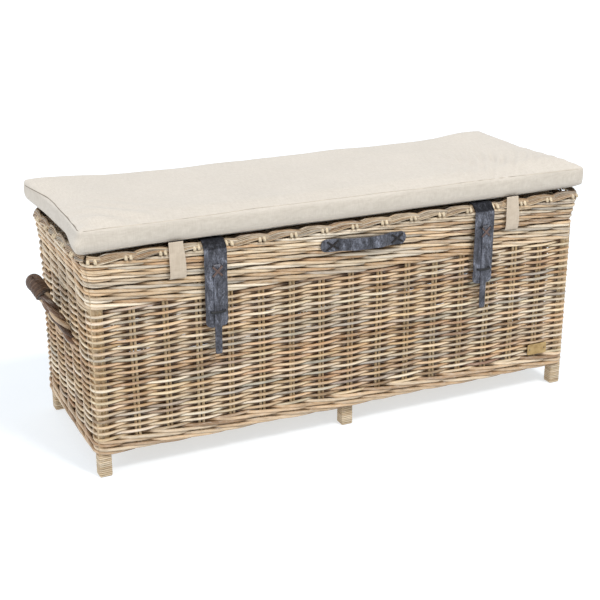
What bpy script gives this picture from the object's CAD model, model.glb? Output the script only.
import math

import bpy
import numpy as np
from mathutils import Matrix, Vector
from mathutils.bvhtree import BVHTree


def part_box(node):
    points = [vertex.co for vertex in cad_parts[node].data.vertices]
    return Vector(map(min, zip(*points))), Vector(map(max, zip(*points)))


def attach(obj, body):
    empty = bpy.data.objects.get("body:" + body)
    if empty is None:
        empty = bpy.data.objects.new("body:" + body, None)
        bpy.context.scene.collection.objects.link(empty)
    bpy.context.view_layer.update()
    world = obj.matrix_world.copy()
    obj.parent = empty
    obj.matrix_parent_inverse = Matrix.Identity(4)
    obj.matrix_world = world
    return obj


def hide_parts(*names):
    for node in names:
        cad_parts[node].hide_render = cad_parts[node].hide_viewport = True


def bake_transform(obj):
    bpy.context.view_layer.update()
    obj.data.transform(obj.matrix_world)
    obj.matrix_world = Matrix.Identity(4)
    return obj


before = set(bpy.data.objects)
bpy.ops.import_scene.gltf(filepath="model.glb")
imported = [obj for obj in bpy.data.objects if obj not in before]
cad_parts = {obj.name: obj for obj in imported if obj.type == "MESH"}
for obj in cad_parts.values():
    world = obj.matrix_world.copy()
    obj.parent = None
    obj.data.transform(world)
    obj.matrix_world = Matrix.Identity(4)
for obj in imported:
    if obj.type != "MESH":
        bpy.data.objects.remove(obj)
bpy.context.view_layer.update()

random = np.random.default_rng(20)
MM = 0.001
SIDES = ("front", "right", "back", "left")

# ---- Small helpers -----------------------------------------------------------------------------


def colour(red, green, blue):
    """An 8-bit screen colour as linear light."""
    screen = np.array([red, green, blue]) / 255
    return np.where(screen <= 0.04045, screen / 12.92, ((screen + 0.055) / 1.055) ** 2.4)


def smooth(value, low=0.0, high=1.0):
    """An eased step from 0 at low to 1 at high."""
    t = np.clip((np.asarray(value, float) - low) / (high - low), 0, 1)
    return t * t * (3 - 2 * t)


def unit(vectors):
    return vectors / np.maximum(np.linalg.norm(vectors, axis=-1, keepdims=True), 1e-12)


def add_mesh(name, points, faces, material, smooth_faces=True):
    """A mesh object from arrays of points and lists of faces, each list with faces of one size."""
    mesh = bpy.data.meshes.new(name)
    faces = [np.asarray(group, np.int32) for group in faces if len(group)]
    totals = np.concatenate([np.full(len(group), group.shape[1], np.int32) for group in faces])
    loops = np.concatenate([group.ravel() for group in faces])
    mesh.vertices.add(len(points))
    mesh.vertices.foreach_set("co", np.asarray(points, np.float32).ravel())
    mesh.loops.add(len(loops))
    mesh.loops.foreach_set("vertex_index", loops)
    mesh.polygons.add(len(totals))
    mesh.polygons.foreach_set("loop_start", np.cumsum(totals, dtype=np.int32) - totals)
    mesh.polygons.foreach_set("loop_total", totals)
    mesh.update(calc_edges=True)
    mesh.polygons.foreach_set("use_smooth", np.full(len(totals), smooth_faces))
    mesh.validate()
    piece = bpy.data.objects.new(name, mesh)
    bpy.context.scene.collection.objects.link(piece)
    mesh.materials.append(material)
    return piece


GRIME = np.array([0.40, 0.31, 0.22])


class Canes:
    """Many canes as one mesh. Each point keeps its cane's colour and where it lies in the cane."""

    def __init__(self):
        self.points, self.quads, self.caps, self.tones, self.grain = [], {}, {}, [], []
        self.count = 0

    def add(self, path, across, upward, tone, up=(0.0, 0.0, 1.0), sides=8, closed=False, grime=0.0):
        """A cane along path: across and upward are its radii, tone one colour or one for each point.

        grime darkens its top and bottom, where it touches its neighbours.
        """
        path = np.asarray(path, float)
        steps = len(path)
        if closed:
            tangent = unit(np.roll(path, -1, 0) - np.roll(path, 1, 0))
        else:
            tangent = unit(np.gradient(path, axis=0))
        beside = unit(np.cross(tangent, np.broadcast_to(np.asarray(up, float), path.shape)))
        above = np.cross(beside, tangent)
        turn = np.linspace(0, 2 * math.pi, sides, endpoint=False)
        reach = np.broadcast_to(np.asarray(across, float), steps)[:, None, None]
        rise = np.broadcast_to(np.asarray(upward, float), steps)[:, None, None]
        ring = beside[:, None] * (reach * np.cos(turn)[None, :, None])
        ring = ring + above[:, None] * (rise * np.sin(turn)[None, :, None])
        self.points.append((path[:, None] + ring).reshape(-1, 3))
        length = np.concatenate([[0], np.cumsum(np.linalg.norm(np.diff(path, axis=0), axis=1))])
        start = random.random() * 40
        grain = np.empty((steps, sides, 3))
        grain[..., 0] = (length + start)[:, None]
        grain[..., 1] = np.cos(turn)[None] * reach[..., 0] + start
        grain[..., 2] = np.sin(turn)[None] * rise[..., 0]
        self.grain.append(grain.reshape(-1, 3))
        tone = np.broadcast_to(np.asarray(tone, float), (steps, 3))
        soiled = GRIME ** (grime * np.abs(np.sin(turn)) ** 2.5)[:, None]
        self.tones.append((tone[:, None] * soiled[None]).reshape(-1, 3))
        first = self.count + np.arange(steps if closed else steps - 1)[:, None] * sides
        near = first + np.arange(sides)[None]
        beyond = first + (np.arange(sides)[None] + 1) % sides
        ahead = (near - self.count + sides) % (steps * sides) + self.count
        ahead_beyond = (beyond - self.count + sides) % (steps * sides) + self.count
        quads = np.stack([near, beyond, ahead_beyond, ahead], -1).reshape(-1, 4)
        self.quads.setdefault(4, []).append(quads)
        if not closed:
            last = self.count + (steps - 1) * sides
            ends = [np.arange(sides)[::-1] + self.count, np.arange(sides) + last]
            self.caps.setdefault(sides, []).append(np.stack(ends))
        self.count += steps * sides

    def make(self, name, material, body, replaces=()):
        """The mesh as a finished piece on its body."""
        faces = [np.concatenate(self.quads[4])] + [np.concatenate(caps) for caps in self.caps.values()]
        piece = add_mesh(name, np.concatenate(self.points), faces, material)
        tones = np.concatenate(self.tones)
        attribute = piece.data.attributes.new("tone", "FLOAT_COLOR", "POINT")
        attribute.data.foreach_set("color", np.column_stack([tones, np.ones(len(tones))]).astype(np.float32).ravel())
        attribute = piece.data.attributes.new("grain", "FLOAT_VECTOR", "POINT")
        attribute.data.foreach_set("vector", np.concatenate(self.grain).astype(np.float32).ravel())
        return finish_piece(piece, body, replaces)


def finish_piece(piece, body, replaces=()):
    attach(piece, body)
    if replaces:
        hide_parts(*replaces)
    return piece


# ---- Materials ---------------------------------------------------------------------------------


class Paint:
    """Builds one material's nodes."""

    def __init__(self, name, **sockets):
        self.material = bpy.data.materials.new(name)
        self.material.use_nodes = True
        self.nodes = self.material.node_tree.nodes
        self.links = self.material.node_tree.links
        self.shader = self.nodes["Principled BSDF"]
        for key, value in sockets.items():
            self.shader.inputs[key.replace("_", " ")].default_value = value

    def node(self, kind, inputs=None, **settings):
        made = self.nodes.new("ShaderNode" + kind)
        for key, value in settings.items():
            setattr(made, key, value)
        for key, value in (inputs or {}).items():
            socket = made.inputs[key]
            if isinstance(value, bpy.types.NodeSocket):
                self.links.new(value, socket)
            else:
                socket.default_value = value
        return made

    def coordinates(self, scale, attribute=None):
        """Object coordinates, or an attribute's vector, stretched."""
        if attribute:
            source = self.node("Attribute", attribute_name=attribute).outputs["Vector"]
        else:
            source = self.node("TexCoord").outputs["Object"]
        return self.node("Mapping", {"Vector": source, "Scale": scale}).outputs["Vector"]

    def noise(self, vector, scale=1.0, detail=3.0, roughness=0.55, distortion=0.0):
        made = self.node("TexNoise", {"Vector": vector, "Scale": scale, "Detail": detail, "Roughness": roughness,
                                      "Distortion": distortion})
        return made.outputs["Fac"]

    def ramp(self, factor, *stops):
        """A colour ramp; each stop is (position, linear colour or grey)."""
        made = self.node("ValToRGB", {"Fac": factor})
        elements = made.color_ramp.elements
        while len(elements) < len(stops):
            elements.new(0.5)
        for element, (position, value) in zip(elements, stops):
            element.position = position
            value = (value,) * 3 if isinstance(value, (int, float)) else tuple(value)
            element.color = (*value, 1)
        return made.outputs["Color"]

    def mix(self, kind, factor, first, second):
        made = self.node("Mix", {"Factor": factor}, data_type="RGBA", blend_type=kind)
        for socket, value in zip((made.inputs[6], made.inputs[7]), (first, second)):
            if isinstance(value, bpy.types.NodeSocket):
                self.links.new(value, socket)
            else:
                socket.default_value = (*value, 1)
        return made.outputs[2]

    def maths(self, kind, *values):
        made = self.node("Math", operation=kind)
        for socket, value in zip(made.inputs, values):
            if isinstance(value, bpy.types.NodeSocket):
                self.links.new(value, socket)
            else:
                socket.default_value = value
        return made.outputs[0]

    def bump(self, height, distance, strength=1.0, below=None):
        inputs = {"Height": height, "Distance": distance, "Strength": strength}
        if below is not None:
            inputs["Normal"] = below
        return self.node("Bump", inputs).outputs["Normal"]

    def into(self, **sockets):
        for key, value in sockets.items():
            self.links.new(value, self.shader.inputs[key.replace("_", " ")])
        return self.material


def cane_material(name, wash, depth):
    """Rattan: fine streaks along the cane, darker blotches and a chalky grey wash."""
    paint = Paint(name, Specular_IOR_Level=0.45)
    tone = paint.node("Attribute", attribute_name="tone").outputs["Color"]
    streaks = paint.noise(paint.coordinates((45, 1300, 1300), "grain"), detail=4)
    blotches = paint.noise(paint.coordinates((26, 130, 130), "grain"), detail=2)
    chalk = paint.noise(paint.coordinates((70, 420, 420), "grain"), detail=3)
    shade = paint.ramp(streaks, (0.3, 0.62), (0.5, 0.98), (0.68, 1.16))
    dirt = paint.ramp(blotches, (0.3, 0.66), (0.47, 1.0), (0.72, 1.08))
    body = paint.mix("MULTIPLY", 1.0, tone, shade)
    body = paint.mix("MULTIPLY", depth, body, dirt)
    washed = paint.ramp(chalk, (0.5, 0.0), (0.68, wash))
    body = paint.mix("MIX", washed, body, colour(214, 206, 193))
    rough = paint.ramp(chalk, (0.3, 0.36), (0.7, 0.62))
    normal = paint.bump(streaks, 0.0005, 0.6)
    return paint.into(Base_Color=body, Roughness=rough, Normal=normal)


def pole_material(name, axis, light, dark):
    """Peeled wood with its grain along one axis."""
    paint = Paint(name, Specular_IOR_Level=0.3)
    fine = [260.0, 260.0, 260.0]
    fine["XYZ".index(axis)] = 9.0
    grain = paint.noise(paint.coordinates(fine), detail=5, distortion=0.4)
    patches = paint.noise(paint.coordinates((14, 14, 14)), detail=2)
    body = paint.ramp(grain, (0.3, dark), (0.62, light))
    body = paint.mix("MULTIPLY", 0.5, body, paint.ramp(patches, (0.35, 0.7), (0.65, 1.05)))
    rough = paint.ramp(grain, (0.3, 0.75), (0.7, 0.55))
    return paint.into(Base_Color=body, Roughness=rough, Normal=paint.bump(grain, 0.0004, 0.5))


def leather_material():
    """Worn slate-grey leather: fine pores, cloudy patches and faint pale scuffs."""
    paint = Paint("leather")
    clouds = paint.noise(paint.coordinates((70, 70, 34)), detail=6, roughness=0.68, distortion=0.5)
    pores = paint.node("TexVoronoi", {"Vector": paint.coordinates((900, 900, 900)), "Scale": 1.0}).outputs["Distance"]
    grain = paint.noise(paint.coordinates((420, 420, 260)), detail=4)
    scuffs = paint.noise(paint.coordinates((300, 300, 38)), detail=3)
    body = paint.ramp(clouds, (0.32, colour(27, 27, 31)), (0.5, colour(68, 69, 77)), (0.7, colour(122, 125, 136)))
    body = paint.mix("MULTIPLY", 0.8, body, paint.ramp(grain, (0.36, 0.3), (0.6, 1.5)))
    edges = paint.node("NewGeometry").outputs["Pointiness"]
    worn = paint.ramp(edges, (0.52, 0.0), (0.6, 0.55))
    body = paint.mix("MIX", worn, body, colour(120, 116, 118))
    body = paint.mix("MIX", paint.ramp(scuffs, (0.6, 0.0), (0.74, 0.42)), body, colour(142, 144, 152))
    fold = paint.node("Attribute", attribute_name="fold").outputs["Fac"]
    body = paint.mix("MULTIPLY", 1.0, body, paint.ramp(fold, (0.0, 1.0), (1.0, 0.3)))
    gloss = paint.ramp(fold, (0.0, 0.34), (1.0, 0.05))
    rough = paint.ramp(clouds, (0.3, 0.3), (0.7, 0.52))
    normal = paint.bump(pores, 0.0004, 0.35, paint.bump(grain, 0.0005, 0.4))
    return paint.into(Base_Color=body, Roughness=rough, Specular_IOR_Level=gloss, Normal=normal)


def canvas_material(name, light, dark):
    """Heavy cotton: a plain weave of slubby yarns."""
    paint = Paint(name, Specular_IOR_Level=0.2, Sheen_Weight=0.25, Sheen_Roughness=0.6)
    threads = []
    for axis, thin in (((1, 0, 0), (1500, 60, 60)), ((0, 1, 0), (60, 1500, 60))):
        slub = paint.noise(paint.coordinates(thin), detail=2)
        threads.append(slub)
    weave = paint.maths("ADD", paint.maths("MULTIPLY", threads[0], 0.5), paint.maths("MULTIPLY", threads[1], 0.5))
    upright = paint.noise(paint.coordinates((160, 160, 1400)), detail=2)
    weave = paint.maths("ADD", paint.maths("MULTIPLY", weave, 0.8), paint.maths("MULTIPLY", upright, 0.2))
    clouds = paint.noise(paint.coordinates((7, 7, 12)), detail=3)
    body = paint.ramp(weave, (0.36, dark), (0.62, light))
    body = paint.mix("MULTIPLY", 0.5, body, paint.ramp(clouds, (0.3, 0.93), (0.7, 1.03)))
    facing = paint.node("SeparateXYZ", {"Vector": paint.node("NewGeometry").outputs["Normal"]}).outputs["Z"]
    body = paint.mix("MULTIPLY", 1.0, body, paint.ramp(facing, (0.25, (0.88, 0.87, 0.85)), (0.85, 1.0)))
    rough = paint.ramp(weave, (0.3, 0.95), (0.7, 0.82))
    return paint.into(Base_Color=body, Roughness=rough, Normal=paint.bump(weave, 0.0006, 0.35))


def metal_material(name, light, dark, roughness):
    """Aged metal with dull patches and fine scratches."""
    paint = Paint(name, Metallic=0.85)
    patches = paint.noise(paint.coordinates((60, 60, 60)), detail=3, roughness=0.5)
    scratches = paint.noise(paint.coordinates((60, 900, 1500)), detail=2)
    body = paint.ramp(patches, (0.35, dark), (0.62, light))
    rough = paint.ramp(patches, (0.3, roughness + 0.2), (0.7, roughness))
    return paint.into(Base_Color=body, Roughness=rough, Normal=paint.bump(scratches, 0.0002, 0.4))


CANE = cane_material("cane", 0.34, 0.75)
DARK_CANE = cane_material("dark_cane", 0.1, 0.9)
LEATHER = leather_material()
CANVAS = canvas_material("canvas", colour(209, 201, 190), colour(191, 182, 170))
TAPE = canvas_material("tape", colour(207, 192, 173), colour(189, 173, 154))
THREAD = cane_material("thread", 0.0, 1.0)
BRASS = metal_material("aged_brass", colour(188, 160, 112), colour(160, 132, 88), 0.38)
STEEL = metal_material("dull_steel", colour(120, 118, 114), colour(64, 60, 56), 0.4)
POLE = {axis: pole_material(f"pole_{axis}", axis, colour(206, 184, 150), colour(150, 122, 90)) for axis in "XYZ"}
BOARD = pole_material("base_board", "X", colour(198, 170, 128), colour(160, 130, 92))

# ---- Cane colours ------------------------------------------------------------------------------

WASHED = [
    (colour(218, 198, 168), 6), (colour(208, 181, 146), 6), (colour(196, 165, 128), 5), (colour(190, 175, 154), 4),
    (colour(176, 167, 153), 3), (colour(182, 147, 109), 3), (colour(152, 120, 90), 2), (colour(224, 211, 190), 4),
]
TAN = [(colour(200, 174, 143), 4), (colour(186, 156, 121), 4), (colour(210, 190, 163), 3), (colour(154, 123, 92), 2)]
PALE = [(colour(222, 202, 164), 3), (colour(208, 184, 142), 3), (colour(190, 164, 126), 2)]
FOOT = [(colour(216, 200, 174), 4), (colour(202, 182, 150), 3), (colour(190, 166, 134), 2)]
BROWN = [(colour(84, 60, 44), 4), (colour(66, 47, 36), 3), (colour(104, 78, 58), 2)]
BRAIDED = [colour(104, 74, 52), colour(190, 164, 134), colour(78, 55, 40)]


def pick(palette):
    """A random cane colour between two of a palette's colours."""
    weights = np.array([weight for _, weight in palette], float)
    one, other = random.choice(len(palette), 2, p=weights / weights.sum())
    share = random.random()
    tone = palette[one][0] * (1 - share) + palette[other][0] * share
    return tone * random.uniform(0.9, 1.1)


# ---- The four woven sides ----------------------------------------------------------------------
# A side is followed by g, which counts the stakes round the basket, so that a cane that turns a
# corner leaves one side where it enters the next.

WALL = 16 * MM
HALF_X = 1150 * MM / 2 - WALL / 2
HALF_Y = 396 * MM / 2 - WALL / 2
ROUND = 20 * MM
FLARE = 7 * MM
LID_BOTTOM = 407.5 * MM
RIM_TOP = 458 * MM
STAKES = {"front": 17, "right": 5, "back": 17, "left": 5}
LAST_STAKE = {"front": 553 * MM, "right": 132 * MM, "back": 553 * MM, "left": 132 * MM}
TOTAL = sum(STAKES.values())
STEP = 6.6 * MM


def half_of(side):
    return HALF_X if side in ("front", "back") else HALF_Y


def end_of(side):
    """Half of a side's length, measured round to the middle of its corners."""
    return half_of(side) - ROUND + ROUND * math.pi / 4


class Side:
    """One side of the basket from the middle of one corner to the middle of the next."""

    def __init__(self, side, first):
        self.name = side
        end = end_of(side)
        count = STAKES[side]
        last = LAST_STAKE[side]
        other = "right" if side in ("front", "back") else "front"
        own_gap, next_gap = end - last, end_of(other) - LAST_STAKE[other]
        corner = own_gap / (own_gap + next_gap)
        self.stakes = np.linspace(-last, last, count)
        self.at_s = np.concatenate([[-end], self.stakes, [end]])
        self.at_g = np.concatenate([[first - corner], first + np.arange(count), [first + count - 1 + corner]])
        self.first, self.count = first, count
        pieces = []
        for low, high, low_g, high_g in zip(self.at_s[:-1], self.at_s[1:], self.at_g[:-1], self.at_g[1:]):
            number = max(4, round((high - low) / STEP))
            pieces.append(np.linspace(low_g, high_g, number, endpoint=False))
        self.g = np.concatenate(pieces + [[self.at_g[-1]]])

    def s_of(self, g):
        return np.interp(g, self.at_g, self.at_s)

    def place(self, g, out, z, flare=0.0):
        """Points at g along the side, out from its middle plane, at height z; flare leans it out."""
        g, out, z, flare = np.broadcast_arrays(g, out, z, flare)
        long_side = self.name in ("front", "back")
        half = half_of(self.name)
        reach = half + flare * (1.0 if long_side else 0.5)
        s = self.s_of(g) * reach / half
        flat = reach - ROUND
        turn = np.clip((np.abs(s) - flat) / ROUND, 0, math.pi / 4)
        along = np.sign(s) * (np.minimum(np.abs(s), flat) + (ROUND + out) * np.sin(turn))
        across = out + (ROUND + out) * (np.cos(turn) - 1)
        if self.name == "front":
            plan = (along, -(HALF_Y + flare + across))
        elif self.name == "back":
            plan = (-along, HALF_Y + across)
        elif self.name == "right":
            plan = (HALF_X + flare + across, along - flare / 2)
        else:
            plan = (-(HALF_X + flare + across), -along - flare / 2)
        return np.stack([*plan, z], -1)


sides = {}
first_stake = 0
for side in SIDES:
    sides[side] = Side(side, first_stake)
    first_stake += STAKES[side]


def lean(z, side):
    """How far the lid's rim stands out at a height."""
    share = np.clip((np.asarray(z, float) - LID_BOTTOM) / (RIM_TOP - LID_BOTTOM), 0, 1)
    return FLARE * share


# ---- Plain weave of the walls ------------------------------------------------------------------

ROW_LOW = 84.5 * MM
ROW_HIGH = 356.5 * MM
ROWS = 42
WEAVE_DEPTH = 4.5 * MM
ROW_PITCH = (ROW_HIGH - ROW_LOW) / (ROWS - 1)


def sway(g, z):
    """The slow rise and fall that neighbouring rows share."""
    angle = 2 * math.pi * g / TOTAL
    return (0.9 * np.sin(9 * angle + 20 * z) + 0.6 * np.sin(23 * angle - 31 * z)) * MM


row_tones = []
for row in range(ROWS):
    tones = []
    while len(tones) < TOTAL // 2:
        tone = pick(WASHED)
        for _ in range(random.integers(1, 5)):
            tones.append(tone * random.uniform(0.88, 1.14) + random.uniform(-0.012, 0.012, 3))
    row_tones.append(np.clip(np.array(tones[: TOTAL // 2]), 0.02, 0.9))
row_shift = random.uniform(-0.35, 0.35, ROWS) * MM
row_size = random.uniform(0.93, 1.06, (ROWS, TOTAL // 2))

STAKE_RADIUS = 2.9 * MM
STAKE_PITCH = 8.0 * MM
CORNER_BULGE = 2.4 * MM
CORNER_SPREAD = 15 * MM
STAKE_LOW = 56 * MM
BASKET_STAKE_HIGH = 400 * MM


def add_stakes(canes, side, low, high):
    """Upright stakes in pairs."""
    for index in range(side.count):
        for place in (-0.5, 0.5):
            z = np.linspace(low, high, 14)
            wander = random.uniform(-0.5, 0.5) * MM + 0.5 * MM * np.sin(z * random.uniform(12, 30) + random.random() * 6)
            offset = place * STAKE_PITCH + wander
            local = side.stakes[index] + offset
            g = np.interp(local, side.at_s, side.at_g)
            path = side.place(g, 0.0, z, lean(z, side.name))
            canes.add(path, STAKE_RADIUS, STAKE_RADIUS, pick(PALE), up=(0.3, 0.9, 0.1), sides=8, grime=0.7)


def woven_wall(side):
    canes = Canes()
    g = side.g
    for row in range(ROWS):
        z = ROW_LOW + row * ROW_PITCH + row_shift[row] + sway(g, row * ROW_PITCH)
        wave = np.cos(math.pi * (g + row))
        out = WEAVE_DEPTH * np.sign(wave) * np.abs(wave) ** 0.85
        from_corner = end_of(side.name) - np.abs(side.s_of(g))
        out = out + CORNER_BULGE * np.exp(-((from_corner / CORNER_SPREAD) ** 2)) * np.sign(wave)
        strand = (np.floor((g + row + 1) / 2).astype(int)) % (TOTAL // 2)
        inner = smooth(-wave, 0.0, 0.8)
        soil = GRIME ** (1.9 * smooth(-wave, 0.3, 0.85))[:, None]
        size = row_size[row][strand]
        upward = (3.05 + 0.3 * smooth(wave, 0, 1) + 1.8 * inner) * MM * size
        z = z - 1.4 * MM * inner
        canes.add(side.place(g, out, z), 3.1 * MM * size, upward, row_tones[row][strand] * soil * 1.05, grime=0.7)
    add_stakes(canes, side, STAKE_LOW, BASKET_STAKE_HIGH)
    canes.make(f"weave_{side.name}", CANE, "basket", [f"wall_{side.name}"])


for side in sides.values():
    woven_wall(side)

# ---- Wales: three canes that twist round each other --------------------------------------------

MOUTH = 406.4 * MM


def wale_rows(canes, side, low, cane, rows, palette, deep, flared=False, seed=0):
    """Rows of three-cane wale from height low; cane is the canes' diameter."""
    local = np.random.default_rng(seed)
    table = [[pick_from(local, palette) for _ in range(TOTAL)] for _ in range(rows)]
    sizes = local.uniform(0.92, 1.06, (rows, TOTAL))
    lifts = np.stack([local.uniform(-0.7, 0.7, (rows, TOTAL)) * MM, local.uniform(0.85, 1.15, (rows, TOTAL))], -1)
    for row in range(rows):
        middle = low + (2 * row + 1) * cane
        for start in range(side.first - 3, side.first + side.count):
            inside = (side.g > start + 0.05) & (side.g < start + 2.95)
            g = side.g[inside]
            if len(g) < 3:
                continue
            u = g - start
            ramp = smooth(u, 0.1, 0.95) * (1 - smooth(u, 2.05, 2.9))
            out = deep * (2 * ramp - 1) + 1.3 * MM * np.exp(-((u - 1.5) / 0.5) ** 2) - 1.1 * MM * (u - 1.5)
            lift, slope = lifts[row][start % TOTAL]
            climb = -slope * np.clip((u - 1.5) / 1.25, -1, 1)
            z = middle + cane * climb + lift + 0.6 * sway(g, middle)
            end = 0.72 + 0.28 * smooth(u, 0.05, 0.5) * (1 - smooth(u, 2.5, 2.95))
            size = cane / 2 * sizes[row][start % TOTAL] * end
            flare = lean(z, side.name) if flared else 0.0
            if flared:
                z = np.maximum(z, MOUTH + 0.5 * MM + size)
            else:
                z = np.minimum(z, MOUTH - 0.5 * MM - size)
            soil = GRIME ** (1.1 * (1 - smooth(ramp, 0.05, 0.5)))[:, None]
            tone = table[row][start % TOTAL] * soil * 1.08
            canes.add(side.place(g, out, z, flare), size * 0.9, size * 1.04, tone, grime=0.45)


def pick_from(generator, palette):
    """As pick, from a generator of its own, so that a row keeps its colours round the corners."""
    weights = np.array([weight for _, weight in palette], float)
    one, other = generator.choice(len(palette), 2, p=weights / weights.sum())
    share = generator.random()
    return (palette[one][0] * (1 - share) + palette[other][0] * share) * generator.uniform(0.82, 1.14)


def backing(canes, side, low, high):
    """The turns of the canes behind the stakes, which close the wall."""
    count = round((high - low) / (7.4 * MM))
    for z in np.linspace(low + 4 * MM, high - 4 * MM, count):
        path = side.place(side.g, -7.4 * MM, z + 0 * side.g, lean(z, side.name))
        canes.add(path, 1.7 * MM, 4.1 * MM, colour(104, 80, 58) * random.uniform(0.8, 1.2), sides=6)


for side in sides.values():
    canes = Canes()
    backing(canes, side, 353 * MM, MOUTH)
    wale_rows(canes, side, 360.5 * MM, 7.45 * MM, 3, WASHED, 4.3 * MM, seed=5)
    canes.make(f"band_{side.name}", CANE, "basket", [f"wall_band_{side.name}"])

    canes = Canes()
    backing(canes, side, MOUTH + 0.6 * MM, 458 * MM)
    wale_rows(canes, side, 407.2 * MM, 6.5 * MM, 4, WASHED, 4.3 * MM, flared=True, seed=6)
    add_stakes(canes, side, 410 * MM, 458 * MM)
    canes.make(f"lid_weave_{side.name}", CANE, "lid", [f"lid_rim_{side.name}"])

    canes = Canes()
    wale_rows(canes, side, 50 * MM, 8.1 * MM, 2, TAN, 4.4 * MM, seed=7)
    canes.make(f"bottom_rows_{side.name}", CANE, "basket", ["base_border"] if side.name == "front" else ())

# ---- Rolled border of the lid ------------------------------------------------------------------
# One bundle of thin canes for each stake pair: stakes passed, out, height, direction and width of
# the bundle's spread.

ROLL = np.array([
    (-0.10, -5.5, 459.0, 105, 0.60), (0.08, 0.0, 462.4, 108, 0.75), (0.24, 4.4, 465.6, 112, 0.90),
    (0.42, 5.2, 468.4, 116, 1.00), (0.60, 4.8, 470.0, 118, 0.95), (0.80, 5.0, 470.4, 115, 0.75),
    (1.00, 5.2, 469.6, 110, 0.56), (1.20, 4.0, 467.0, 100, 0.50), (1.40, 0.8, 464.0, 92, 0.48),
    (1.60, -3.6, 461.0, 90, 0.44), (1.80, -6.0, 458.0, 90, 0.40),
])
THIN = 1.75 * MM
SPREAD = 8.0
BUNDLE = (-1.0, -0.6, -0.2, 0.2, 0.6, 1.0)
TUCK = (0.2, 0.7, 1.0, 1.0, 0.6, 0.0)
ROLL_TOP = 475.0 * MM
END_RADIUS = 3.5 * MM
END_PITCH = 9.8 * MM
END_OUT = np.array([-3, 4, 7.6, 9.4, 9.9]) * MM
END_Z = np.array([469.0, 468.2, 465.8, 462.6, 460.2]) * MM

FACE_Y = -207.35 * MM
OVER_Z = 473.75 * MM
LEAN_Z = 458.5 * MM
STRAP_THICK = 3.5 * MM
STRAP_HALF = 24 * MM
STRAP_X = [sum(corner.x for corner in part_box(f"strap_{across}")) / 2 for across in ("left", "right")]


def tuck(path, radius):
    """Canes that pass under a closing strap are pressed back behind it."""
    x, y, z = path.T
    upright = FACE_Y + STRAP_THICK / 2 + radius
    leaning = FACE_Y + (z - LEAN_Z) + (STRAP_THICK / 2 + radius) * math.sqrt(2)
    allowed = np.maximum(upright, leaning)
    near = np.zeros(len(path))
    for strap_x in STRAP_X:
        near = np.maximum(near, 1 - smooth(np.abs(x - strap_x), STRAP_HALF + 2 * MM, STRAP_HALF + 16 * MM))
    path[:, 1] = y + near * np.maximum(0, allowed - y)
    path[:, 2] = z - near * np.maximum(0, z - (OVER_Z - STRAP_THICK / 2 - radius))
    return path


def rolled_border(side, body):
    canes = Canes()
    local = np.random.default_rng(30 + side.first)
    for start in range(side.first - 2, side.first + side.count):
        grid = np.linspace(ROLL[0, 0], ROLL[-1, 0], 30) + start
        inside = (grid >= side.at_g[0]) & (grid <= side.at_g[-1])
        if inside.sum() < 3:
            continue
        g = grid[inside]
        out, height, spread, wide = (smooth_table(g - start, ROLL[:, 0], ROLL[:, column]) for column in (1, 2, 3, 4))
        spread = np.radians(spread)
        for place, depth in zip(BUNDLE, TUCK):
            offset = place * SPREAD * wide
            reach = out + offset * np.cos(spread) + depth * np.sin(spread)
            rise = height + offset * np.sin(spread) - 0.4 * depth * np.cos(spread)
            jitter = local.uniform(-0.45, 0.45, 2)
            z = np.minimum((rise + jitter[1]) * MM, ROLL_TOP)
            path = side.place(g, (reach + jitter[0]) * MM, z, FLARE)
            size = THIN * local.uniform(0.9, 1.12)
            if side.name == "front":
                path = tuck(path, size)
            canes.add(path, size, size, pick_from(local, WASHED) * 0.76, grime=0.9)
    for index in range(side.count):
        for place in (-0.5, 0.5):
            g = np.interp(side.stakes[index] + place * END_PITCH, side.at_s, side.at_g)
            path = side.place(g, END_OUT, END_Z, FLARE)
            if side.name == "front":
                path = tuck(path, 0.3 * MM)
            radii = END_RADIUS * np.array([1, 1, 1, 1, 0.86])
            canes.add(path, radii, radii, colour(208, 189, 158) * local.uniform(0.85, 1.1), up=(0.3, 0.3, 1), sides=12)
    canes.make(f"lid_roll_{side.name}", CANE, body, ["lid_border"] if side.name == "front" else ())


def smooth_table(u, knots, values):
    """Values between knots along smooth Hermite curves."""
    slopes = np.gradient(values, knots)
    index = np.clip(np.searchsorted(knots, u) - 1, 0, len(knots) - 2)
    width = knots[index + 1] - knots[index]
    t = (u - knots[index]) / width
    return ((2 * t ** 3 - 3 * t ** 2 + 1) * values[index] + (t ** 3 - 2 * t ** 2 + t) * width * slopes[index]
            + (3 * t ** 2 - 2 * t ** 3) * values[index + 1] + (t ** 3 - t ** 2) * width * slopes[index + 1])


for side in sides.values():
    rolled_border(side, "lid")

# ---- Feet bound with thin cane -----------------------------------------------------------------

canes = Canes()
POSTS = ["middle_post_front", "middle_post_back"]
POSTS += [f"corner_post_{deep}_{across}" for deep in ("front", "back") for across in ("left", "right")]
for name in POSTS:
    low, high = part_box(name)
    middle = np.array([(low.x + high.x) / 2, (low.y + high.y) / 2])
    half = (high.x - low.x) / 2 + 0.4 * MM
    turn = np.linspace(0, 2 * math.pi, 28, endpoint=False)
    square = np.stack([np.sign(np.cos(turn)) * np.abs(np.cos(turn)) ** 0.28,
                       np.sign(np.sin(turn)) * np.abs(np.sin(turn)) ** 0.28], -1)
    for ring in range(11):
        z = (3.8 + ring * 4.3) * MM + 0.9 * MM * np.sin(turn + 0.6)
        reach = half * random.uniform(0.985, 1.01)
        path = np.column_stack([middle + square * reach, z])
        canes.add(path, 1.75 * MM, 2.15 * MM, pick(FOOT), closed=True, grime=0.8)
canes.make("foot_windings", CANE, "basket", ["foot_bindings"])

# ---- Side handles ------------------------------------------------------------------------------

LEG = 87 * MM
BEND = 50 * MM
TILT = math.radians(26)
ROOT = 245 * MM


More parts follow.
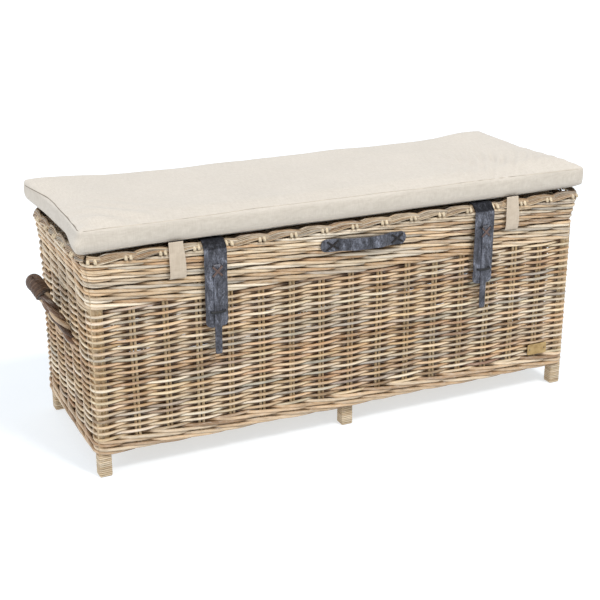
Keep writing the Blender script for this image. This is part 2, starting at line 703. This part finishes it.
def bow(length):
    """Points of a handle's middle line in its own plane: across the wall and up."""
    arc = math.pi * BEND
    turn = np.clip((length - LEG) / BEND, 0, math.pi)
    across = -BEND * np.cos(turn)
    up = np.where(length < LEG, length, np.where(length > LEG + arc, 2 * LEG + arc - length, LEG + BEND * np.sin(turn)))
    return across, up


def handle_path(length, sign, radius=0.0, angle=0.0):
    """Points at a radius and angle round a handle's middle line."""
    length = np.asarray(length, float)
    across, up = bow(length)
    next_across, next_up = bow(length + 0.1 * MM)
    ahead = unit(np.stack([next_across - across, next_up - up], -1))
    side_way = np.stack([-ahead[:, 1], ahead[:, 0]], -1)
    across = across + radius * np.cos(angle) * side_way[:, 0]
    up = up + radius * np.cos(angle) * side_way[:, 1]
    out = radius * np.sin(angle)
    x = HALF_X + up * math.sin(TILT) + out * math.cos(TILT)
    z = ROOT + up * math.cos(TILT) - out * math.sin(TILT)
    return np.stack([sign * x, across, z], -1)


WHOLE = 2 * LEG + math.pi * BEND
for name, sign in (("left", -1), ("right", 1)):
    canes = Canes()
    length = np.linspace(-12 * MM, WHOLE + 12 * MM, 90)
    for strand, tone in enumerate(BRAIDED):
        angle = 2 * math.pi * (length / (84 * MM) + strand / len(BRAIDED))
        path = handle_path(length, sign, 5.9 * MM, angle)
        canes.add(path, 5.3 * MM, 5.3 * MM, tone * random.uniform(0.9, 1.05), up=(0.9, 0.35, 0.25), sides=12)
    canes.make(f"handle_canes_{name}", CANE, "basket", [f"side_handle_{name}"])

    canes = Canes()
    middle, reach = WHOLE / 2, math.radians(96) / 2 * BEND
    turns = 27
    for strand in range(2):
        angle = np.linspace(0, turns * 2 * math.pi, turns * 16)
        length = middle + reach * (angle / angle[-1] * 2 - 1) * 0.98
        swell = 16.1 * MM + 0.25 * MM * np.sin(angle * 0.37 + strand)
        path = handle_path(length + strand * 1.5 * MM, sign, swell, angle + strand)
        tones = np.array([pick(BROWN) for _ in range(turns)])[np.minimum((angle / (2 * math.pi)).astype(int), turns - 1)]
        canes.add(path, 1.25 * MM, 1.25 * MM, tones, up=(1.0, 0.0, 0.3), sides=6)
    length = np.linspace(middle - reach, middle + reach, 24)
    canes.add(handle_path(length, sign), 15.2 * MM, 15.2 * MM, colour(52, 38, 30), up=(1.0, 0.0, 0.3), sides=20)
    canes.make(f"handle_winding_{name}", DARK_CANE, "basket", [f"side_grip_{name}"])

# ---- The lid's panel, seen when the lid is open ------------------------------------------------

canes = Canes()
PANEL_X, PANEL_Y = 1116 * MM / 2, 362 * MM / 2
PANEL_Z = 452 * MM
across_x = np.linspace(-PANEL_X, PANEL_X, 16 * 6 + 1)
rows = round(2 * PANEL_Y / (7.0 * MM))
for row in range(rows + 1):
    y = -PANEL_Y + row * 2 * PANEL_Y / rows
    count = across_x / (2 * PANEL_X) * 16
    z = PANEL_Z + 1.7 * MM * np.cos(math.pi * (count + row))
    path = np.stack([across_x, np.full_like(across_x, y), z], -1)
    canes.add(path, 3.4 * MM, 1.9 * MM, pick(WASHED), sides=6)
for stake in range(-8, 9):
    for place in (-1, 1):
        x = stake * 2 * PANEL_X / 16 + place * 2.6 * MM
        if abs(x) > PANEL_X:
            continue
        path = np.stack([np.full(12, x), np.linspace(-PANEL_Y, PANEL_Y, 12), np.full(12, PANEL_Z)], -1)
        canes.add(path, 2.2 * MM, 1.8 * MM, pick(PALE), sides=6)
canes.make("lid_panel_weave", CANE, "lid", ["lid_panel"])

# ---- Leather -----------------------------------------------------------------------------------


def strip(name, path, outward, across, half_width, thick, columns=9, edge=1.0 * MM, material=LEATHER):
    """A strap: a solid band along path, with outward as its face's direction and across as its width's."""
    path, outward = np.asarray(path, float), unit(np.asarray(outward, float))
    across = np.asarray(across, float)
    corner = np.linspace(0, math.pi / 2, 4)
    face = np.linspace(-1, 1, columns)
    section = []
    for a in face[1:-1]:
        section.append((a, 0.0, 1.0, 0.0))
    for t in corner[::-1]:
        section.append((1.0, math.cos(t), 1.0, math.sin(t)))
    for t in corner:
        section.append((1.0, math.cos(t), -1.0, math.sin(t)))
    for a in face[1:-1][::-1]:
        section.append((a, 0.0, -1.0, 0.0))
    for t in corner[::-1]:
        section.append((-1.0, math.cos(t), -1.0, math.sin(t)))
    for t in corner:
        section.append((-1.0, math.cos(t), 1.0, math.sin(t)))
    points = []
    for point, normal, half in zip(path, outward, half_width):
        for a, round_out, sign, round_up in section:
            flat = max(half - edge, 0.2 * MM)
            if round_out == 0.0 and abs(a) < 1.0:
                wide, up = a * flat, sign * thick / 2
            else:
                wide, up = a * (flat + edge * round_out), sign * (thick / 2 - edge + edge * round_up)
            points.append(point + across * wide + normal * up)
    ring, steps = len(section), len(path)
    start = np.arange(steps - 1)[:, None] * ring
    here = start + np.arange(ring)
    there = start + (np.arange(ring) + 1) % ring
    quads = np.stack([here, there, there + ring, here + ring], -1).reshape(-1, 4)
    caps = np.stack([np.arange(ring)[::-1], np.arange(ring) + (steps - 1) * ring])
    piece = add_mesh(name, np.array(points), [quads, caps], material)
    bpy.context.view_layer.update()
    return piece


def fix_normals(piece):
    import bmesh
    mesh = bmesh.new()
    mesh.from_mesh(piece.data)
    bmesh.ops.recalc_face_normals(mesh, faces=mesh.faces)
    mesh.to_mesh(piece.data)
    mesh.free()
    return piece


def rounded_end(distance, half, radius):
    """Half of a strap's width at a distance from an end with round corners."""
    inside = np.clip(distance, 0, radius)
    return half - radius + np.sqrt(np.maximum(radius ** 2 - (radius - inside) ** 2, 0))


def coordinates_of(piece):
    points = np.empty(len(piece.data.vertices) * 3)
    piece.data.vertices.foreach_get("co", points)
    return points.reshape(-1, 3)


def roughen(piece, size, amount, seed=0):
    """Small uneven dents, as hide has."""
    from mathutils import noise
    for vertex in piece.data.vertices:
        at = vertex.co * size + Vector((seed, 0, 0))
        vertex.co += vertex.normal * (noise.noise(at) * amount)
    return piece


def thread_cross(canes, at, size, tone, thick):
    """Two crossed stitches of doubled thread, with their holes, on a face that looks to the front."""
    x, y, z = at
    t = np.linspace(-1, 1, 15)
    for slant in (-1, 1):
        ahead = np.array([size[0], 0, slant * size[1]]) / math.hypot(*size)
        beside = np.array([-ahead[2], 0, ahead[0]])
        line = np.array([x, y, z]) + np.outer(t, ahead) * math.hypot(*size) / 2
        arch = np.outer(1 - t ** 6, (0, -1, 0)) * (thick + 0.35 * MM * (slant > 0))
        canes.add(line, 2.4 * thick, 0.5 * thick, colour(17, 15, 16), up=(0, 1, 0.1), sides=8)
        for step in (-1, 1):
            path = line + arch + beside * step * thick
            canes.add(path, thick, thick, tone * random.uniform(0.85, 1.1), up=(0, 1, 0.1), sides=7)
        for end in (0, -1):
            hole = line[end] + np.outer((-1, 1), (0, 0.45 * MM, 0))
            canes.add(hole, 1.9 * MM, 1.9 * MM, colour(9, 8, 9), up=(0, 0, 1), sides=12)


BEND_RADIUS = 7 * MM
TURN = math.pi / 4
TONGUE_SHIFT = 1.5 * MM
for name in ("left", "right"):
    low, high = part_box(f"strap_{name}")
    x = (low.x + high.x) / 2
    kink = BEND_RADIUS * math.tan(TURN / 2)
    turn = np.linspace(0, TURN, 7)
    over_y = FACE_Y + OVER_Z - LEAN_Z
    upper_y = over_y + kink - BEND_RADIUS * np.sin(turn)
    upper_z = OVER_Z - BEND_RADIUS * (1 - np.cos(turn))
    lower_y = FACE_Y + BEND_RADIUS * (1 - np.cos(turn[::-1]))
    lower_z = LEAN_Z - kink + BEND_RADIUS * np.sin(turn[::-1])
    flat_y = np.linspace(-176 * MM, upper_y[0], 5, endpoint=False)
    share = np.linspace(0, 1, 6)[1:-1]
    slope_y = upper_y[-1] + (lower_y[0] - upper_y[-1]) * share
    slope_z = upper_z[-1] + (lower_z[0] - upper_z[-1]) * share
    down = np.concatenate([np.linspace(lower_z[-1], low.z + 16 * MM, 30)[1:],
                           low.z + 16 * MM * np.linspace(0.93, 0, 14) ** 1.6])
    y = np.concatenate([flat_y, upper_y, slope_y, lower_y, np.full(len(down), FACE_Y)])
    z = np.concatenate([np.full(5, OVER_Z), upper_z, slope_z, lower_z, down])
    facing = np.concatenate([np.zeros(5), turn, np.full(4, TURN), TURN + turn, np.full(len(down), 2 * TURN)])
    path = np.stack([np.full_like(y, x), y, z], -1)
    outward = np.stack([np.zeros_like(y), -np.sin(facing), np.cos(facing)], -1)
    width = rounded_end(z - low.z, STRAP_HALF, 12 * MM)
    width = np.where(z > low.z + 14 * MM, STRAP_HALF, width) * (1 + 0.012 * np.sin(z * 90 + x * 40))
    strap = fix_normals(strip(f"strap_band_{name}", path, outward, (1, 0, 0), width, STRAP_THICK, columns=13))
    roughen(strap, 55, 0.5 * MM, x)
    fold = strap.data.attributes.new("fold", "FLOAT", "POINT")
    fold.data.foreach_set("value", smooth(coordinates_of(strap)[:, 2], 456.5 * MM, 460.5 * MM).astype(np.float32))
    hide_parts(f"strap_{name}")
    if name == "left":
        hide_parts("strap_anchors")
    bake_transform(strap)

    low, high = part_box(f"strap_tongue_{name}")
    step = 326 * MM
    z = np.concatenate([np.linspace(high.z, step, 22, endpoint=False), np.linspace(step, step - 7 * MM, 5, endpoint=False),
                        np.linspace(step - 7 * MM, low.z + 5 * MM, 14, endpoint=False),
                        low.z + 5 * MM * np.linspace(1, 0, 7) ** 1.6])
    wide, thin = 15.2 * MM, 7.5 * MM
    width = thin + (wide - thin) * smooth(z, step - 7 * MM, step)
    width = np.minimum(width, rounded_end(high.z - z + 0.3 * MM, wide, 3 * MM))
    width = np.minimum(width, rounded_end(z - low.z + 0.2 * MM, thin, 4 * MM))
    middle = (low.y + high.y) / 2 - 0.4 * MM * np.sin((high.z - z) * 32)
    path = np.stack([np.full_like(z, x + TONGUE_SHIFT), middle, z], -1)
    tongue = fix_normals(strip(f"tongue_{name}", path, np.tile((0, -1, 0), (len(z), 1)), (1, 0, 0), width, 3.0 * MM))
    roughen(tongue, 70, 0.35 * MM, x + 3)
    finish_piece(tongue, f"strap_{name}", [f"strap_tongue_{name}"])

    canes = Canes()
    thread_cross(canes, (x + TONGUE_SHIFT, low.y - 0.3 * MM, 413 * MM), (20 * MM, 20 * MM), colour(104, 84, 78), 1.05 * MM)
    canes.make(f"strap_cross_{name}", THREAD, f"strap_{name}", [f"strap_stitch_{name}"])

    low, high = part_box(f"strap_keeper_{name}")
    t = np.linspace(-1, 1, 25)
    reach = (high.x - low.x) / 2
    path = np.stack([x + TONGUE_SHIFT + reach * np.sin(t * math.pi / 2), high.y - 4.2 * MM * (1 - t ** 8),
                     (low.z + high.z) / 2 - 1.6 * MM * (1 - t ** 2)], -1)
    canes = Canes()
    canes.add(path, 1.3 * MM, 2.6 * MM, colour(14, 14, 17), sides=10)
    canes.make(f"keeper_{name}", THREAD, f"strap_{name}", [f"strap_keeper_{name}"])

low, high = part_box("pull_handle")
middle_x, middle_z = (low.x + high.x) / 2, (low.z + high.z) / 2
half_length = (high.x - low.x) / 2
corner = 0.07 * np.linspace(0, 1, 8) ** 1.6
t = np.concatenate([corner - 1, np.linspace(-0.92, 0.92, 56), 1 - corner[::-1]])
along = t * half_length
bowed = np.clip(1 - np.abs((along - 2 * MM) / (60 * MM)) ** 2.6, 0, None)
y = -(204.9 * MM + 12.5 * MM * bowed)
tilt = middle_z + 2.5 * MM * (1 - t)
path = np.stack([middle_x + along, y, tilt], -1)
ahead = unit(np.gradient(path, axis=0))
outward = np.cross(ahead, (0, 0, 1.0))
width = rounded_end(half_length - np.abs(along) + 0.05 * MM, 14 * MM, 12 * MM) * (1 - 0.06 * bowed)
pull = fix_normals(strip("pull_band", path, outward, (0, 0, 1), width, 4.0 * MM, columns=9))
roughen(pull, 60, 0.5 * MM, 9)
finish_piece(pull, "lid", ["pull_handle"])
canes = Canes()
for place in (-74 * MM, 79 * MM):
    at = (middle_x + place, -207.2 * MM, float(np.interp(place, along, tilt)))
    thread_cross(canes, at, (25 * MM, 17 * MM), colour(34, 28, 27), 0.95 * MM)
canes.make("pull_crosses", THREAD, "lid", ["pull_stitches"])

# ---- Cushion -----------------------------------------------------------------------------------

low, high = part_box("cushion")
CENTRE = (low + high) / 2
SEAM_HIGH, SEAM_LOW = 524 * MM, 485.5 * MM
half_x, half_y = (high.x - low.x) / 2 - 4 * MM, (high.y - low.y) / 2 - 4 * MM


def box_mesh(half, low_z, high_z, corner):
    """A closed slab with rounded corners in plan."""
    turn = np.linspace(0, 2 * math.pi, 64, endpoint=False) + math.pi / 64
    cos, sin = np.cos(turn), np.sin(turn)
    x = np.sign(cos) * (half[0] - corner) + corner * cos
    y = np.sign(sin) * (half[1] - corner) + corner * sin
    rings = [np.column_stack([x, y, np.full_like(x, z)]) for z in (low_z, high_z)]
    count = len(x)
    index = np.arange(count)
    quads = np.stack([index, (index + 1) % count, (index + 1) % count + count, index + count], -1)
    return np.concatenate(rings), [quads, np.stack([index[::-1], index + count])]


points, faces = box_mesh((half_x, half_y), SEAM_LOW - CENTRE.z, SEAM_HIGH - CENTRE.z, 14 * MM)
cushion = add_mesh("seat_cushion", points, faces, CANVAS)
cushion.location = CENTRE


def apply_modifiers(piece):
    graph = bpy.context.evaluated_depsgraph_get()
    made = bpy.data.meshes.new_from_object(piece.evaluated_get(graph))
    piece.modifiers.clear()
    piece.data = made


remesh = cushion.modifiers.new("Remesh", "REMESH")
remesh.mode = "VOXEL"
remesh.voxel_size = 0.0075
apply_modifiers(cushion)
before = coordinates_of(cushion)
cloth = cushion.modifiers.new("Cloth", "CLOTH")
cloth.settings.use_pressure = True
cloth.settings.uniform_pressure_force = 4
cloth.settings.quality = 5
cloth.settings.effector_weights.gravity = 0
cloth.point_cache.frame_start, cloth.point_cache.frame_end = 1, 20
for step_number in range(1, 21):
    bpy.context.scene.frame_set(step_number)
apply_modifiers(cushion)
bpy.context.scene.frame_set(1)
after = coordinates_of(cushion)
moved = after - before
limit = 5 * MM
moved *= np.minimum(1, limit / np.maximum(np.linalg.norm(moved, axis=1, keepdims=True), 1e-9))
points = before + moved
cushion.data.vertices.foreach_set("co", points.ravel())
subdivide = cushion.modifiers.new("Subdivision", "SUBSURF")
subdivide.levels = subdivide.render_levels = 1
apply_modifiers(cushion)

points = coordinates_of(cushion)
inner_x, inner_y = half_x, half_y
edge_gap = np.minimum(inner_x - np.abs(points[:, 0]), inner_y - np.abs(points[:, 1]))
height = points[:, 2] + CENTRE.z
crown = smooth(edge_gap, -4 * MM, 60 * MM)
top_side = smooth(height, 510 * MM, 522 * MM)
bottom_side = 1 - smooth(height, 487 * MM, 497 * MM)
x, y = points[:, 0].copy(), points[:, 1].copy()
ends = np.exp(-(((np.abs(x) - 0.50) / 0.085) ** 2)) * (0.62 + 0.38 * np.sign(x))
points[:, 2] += top_side * crown * (8.0 * MM + 11 * MM * ends)
points[:, 2] -= bottom_side * smooth(edge_gap, 2 * MM, 30 * MM) * 7 * MM
ripple = (1.1 * np.sin(9 * x + 3 * y) + 0.8 * np.sin(23 * x - 14 * y + 1) + 0.5 * np.sin(41 * x + 37 * y + 2)) * MM
points[:, 2] += ripple * (0.9 * top_side + 0.5 * (1 - top_side))
wave = (1.3 * np.sin(13 * x + 0.7) + 0.8 * np.sin(31 * x + 2.1)) * MM
points[:, 1] += np.sign(y) * wave * smooth(np.abs(y), half_y * 0.8, half_y)
from_front = half_y + y
fan = 2 * math.pi * (x - 0.55 * from_front + 0.012 * np.sin(21 * y)) / 0.029
strength = np.exp(-(((x - 0.40) / 0.12) ** 2)) * (1 - smooth(from_front, 0.06, 0.34)) * smooth(from_front, 0.0, 0.03)
uneven = 0.55 + 0.45 * np.sin(61 * x + 23 * y) * np.sin(37 * x - 11 * y + 1)
points[:, 2] += top_side * strength * uneven * 4.2 * MM * np.sin(fan + 1.4 * np.sin(17 * x))
pulls = 2 * math.pi * (0.8 * x + y) / 0.06
strength = np.exp(-(((x + 0.5) / 0.08) ** 2)) * (1 - smooth(from_front, 0.05, 0.2)) * smooth(from_front, 0.0, 0.03)
points[:, 2] += top_side * strength * 2.4 * MM * np.sin(pulls)
right, left = smooth(x, 0.42, 0.585), smooth(-x, 0.42, 0.585)
front, back = smooth(-y, 0.06, 0.2), smooth(y, 0.06, 0.2)
for side_x, side_y, move in ((left, back, (-14, 7, 9)), (right, front, (8, 0, 5)), (right, back, (3, 5, 3)),
                             (left, front, (-7, -2, 0)), (left, front * (1 - smooth(height, 495 * MM, 515 * MM)), (-9, -4, 0))):
    points += (side_x * side_y)[:, None] * np.array(move) * MM
cushion.data.vertices.foreach_set("co", points.ravel())
cushion.data.update()
cushion.data.polygons.foreach_set("use_smooth", np.ones(len(cushion.data.polygons), bool))
bpy.context.view_layer.update()


def seam_path(height_z, inset):
    """A closed line round the cushion's side at a height, found on its surface."""
    tree = BVHTree.FromObject(cushion, bpy.context.evaluated_depsgraph_get())
    line = []
    perimeter = []
    corner = 30 * MM
    for sx, sy, start in ((1, 1, 0), (-1, 1, 1), (-1, -1, 2), (1, -1, 3)):
        for t in np.linspace(0, math.pi / 2, 12, endpoint=False):
            angle = t + start * math.pi / 2
            perimeter.append((sx * (half_x - corner) + corner * math.cos(angle),
                              sy * (half_y - corner) + corner * math.sin(angle), math.cos(angle), math.sin(angle)))
        following = {0: (-1, 1), 1: (-1, -1), 2: (1, -1), 3: (1, 1)}[start]
        angle = (start + 1) * math.pi / 2
        end = (following[0] * (half_x - corner) + corner * math.cos(angle), following[1] * (half_y - corner) + corner * math.sin(angle))
        begin = (sx * (half_x - corner) + corner * math.cos(angle), sy * (half_y - corner) + corner * math.sin(angle))
        count = round(math.dist(begin, end) / (9 * MM))
        for share in np.linspace(0, 1, count, endpoint=False):
            perimeter.append((begin[0] + (end[0] - begin[0]) * share, begin[1] + (end[1] - begin[1]) * share,
                              math.cos(angle), math.sin(angle)))
    for px, py, nx, ny in perimeter:
        origin = Vector((px + nx * 0.1, py + ny * 0.1, height_z - CENTRE.z))
        hit = tree.ray_cast(origin, Vector((-nx, -ny, 0)))[0]
        if hit is None:
            continue
        line.append((hit.x - nx * inset + CENTRE.x, hit.y - ny * inset + CENTRE.y, height_z))
    line = np.array(line)
    for _ in range(4):
        line = (np.roll(line, 1, 0) + 2 * line + np.roll(line, -1, 0)) / 4
    return line


for label, height_z in (("top", SEAM_HIGH + 1.5 * MM), ("bottom", SEAM_LOW - 0.5 * MM)):
    line = seam_path(height_z, 0.2 * MM)
    canes = Canes()
    dark = smooth(-line[:, 0], half_x - 22 * MM, half_x - 8 * MM)[:, None]
    tone = colour(190, 179, 163) * (1 - dark) + colour(112, 98, 82) * dark
    canes.add(line, 0.8 * MM, 0.8 * MM, tone, closed=True, sides=8)
    canes.make(f"cushion_seam_{label}", THREAD, "lid")

finish_piece(cushion, "lid", ["cushion"])

# ---- Cushion ties ------------------------------------------------------------------------------

TIE = 34 * MM
for deep, sign in (("front", -1), ("back", 1)):
    for across, x in (("left", -392 * MM), ("right", 392 * MM)):
        face = 205.5 * MM if deep == "front" else 199 * MM
        outer = [(face + 1.6 * MM, 484), (face + 1.8 * MM, 472), (face + 2.6 * MM, 450), (face + 2.0 * MM, 430),
                 (face - 0.5 * MM, 413), (face - 3.0 * MM, 407.6), (face - 7 * MM, 406.3), (face - 16 * MM, 406.1),
                 (face - 22 * MM, 407.2), (face - 24.2 * MM, 412), (face - 24.4 * MM, 428), (face - 24.4 * MM, 446)]
        knots = np.array([(d, z * MM) for d, z in outer])
        steps = np.concatenate([[0], np.cumsum(np.linalg.norm(np.diff(knots, axis=0), axis=1))])
        at = np.linspace(0, steps[-1], 60)
        depth, z = (smooth_table(at, steps, knots[:, column]) for column in (0, 1))
        length = float(np.linalg.norm(np.diff(np.stack([depth, z], -1), axis=0), axis=1).sum())
        path = np.stack([x + 2.2 * MM * np.sin(at * 30 - 0.9), sign * depth, z], -1)
        ahead = unit(np.gradient(path, axis=0))
        outward = np.cross(ahead, (1.0, 0, 0)) * (1 if sign < 0 else -1)
        width = TIE / 2 * (0.88 + 0.12 * smooth(at, 0, 45 * MM))
        tie = fix_normals(strip(f"tie_{deep}_{across}", path, outward, (1, 0, 0), width, 1.4 * MM, columns=9, edge=0.6 * MM,
                                material=TAPE))
        finish_piece(tie, "lid", ["cushion_ties"] if (deep, across) == ("front", "left") else ())

# ---- Materials of the CAD parts that keep their shape ------------------------------------------

KEPT = {
    "label_plate": BRASS, "label_pins": STEEL, "hinge_pins": STEEL, "hinge_screws_basket": STEEL,
    "hinge_screws_lid": STEEL, "hinge_leaves_basket": STEEL, "hinge_leaves_lid": STEEL,
    "base_rail_front": POLE["X"], "base_rail_back": POLE["X"], "base_rail_left": POLE["Y"],
    "base_rail_right": POLE["Y"], "base_cross_rail": POLE["Y"], "rim_rail_front": POLE["X"],
    "rim_rail_back": POLE["X"], "lid_rail_front": POLE["X"], "lid_rail_back": POLE["X"],
    "lid_rail_left": POLE["Y"], "lid_rail_right": POLE["Y"], "lid_battens": POLE["Y"], "base_panel": BOARD,
}
KEPT.update({name: POLE["Z"] for name in POSTS})
for name, material in KEPT.items():
    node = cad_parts[name]
    for material_slot in node.material_slots:
        material_slot.material = material

# ---- Floor, light and camera -------------------------------------------------------------------

FLOOR = 40.0
floor_paint = Paint("floor", Roughness=0.9, Specular_IOR_Level=0.1, Emission_Color=(0.92, 0.965, 1.0, 1), Emission_Strength=0.58)
speckle = floor_paint.noise(floor_paint.coordinates((3, 3, 3)), detail=2)
floor_paint.into(Base_Color=floor_paint.ramp(speckle, (0.4, colour(184, 187, 191)), (0.6, colour(187, 190, 194))))
corners = np.array([(-FLOOR, -FLOOR, 0), (FLOOR, -FLOOR, 0), (FLOOR, FLOOR, 0), (-FLOOR, FLOOR, 0)])
floor = add_mesh("floor", corners, [np.array([[0, 1, 2, 3]])], floor_paint.material, smooth_faces=False)

world = bpy.data.worlds.new("studio")
world.use_nodes = True
world.node_tree.nodes["Background"].inputs["Color"].default_value = (0.94, 0.97, 1.0, 1)
world.node_tree.nodes["Background"].inputs["Strength"].default_value = 0.72
bpy.context.scene.world = world
bpy.context.scene.view_settings.view_transform = "Standard"


def soft_sun(name, strength, direction, spread, tint):
    light = bpy.data.lights.new(name, "SUN")
    light.energy = strength
    light.angle = math.radians(spread)
    light.color = tint
    lamp = bpy.data.objects.new(name, light)
    lamp.rotation_mode = "QUATERNION"
    lamp.rotation_quaternion = Vector(direction).to_track_quat("-Z", "Y")
    bpy.context.scene.collection.objects.link(lamp)


soft_sun("key", 1.8, (-0.32, 0.66, -1.0), 12, (1.0, 0.985, 0.96))
soft_sun("fill", 1.1, (0.9, 0.25, -0.5), 50, (0.985, 0.99, 1.0))

camera_data = bpy.data.cameras.new("camera")
camera_data.sensor_width = 36
camera_data.lens = 73.05
camera_data.shift_x = -0.0019
camera = bpy.data.objects.new("camera", camera_data)
camera.location = (-1.1350, -2.3570, 1.1897)
camera.rotation_euler = (math.radians(69.93), math.radians(0.04), math.radians(-25.19))
bpy.context.scene.collection.objects.link(camera)
bpy.context.scene.camera = camera
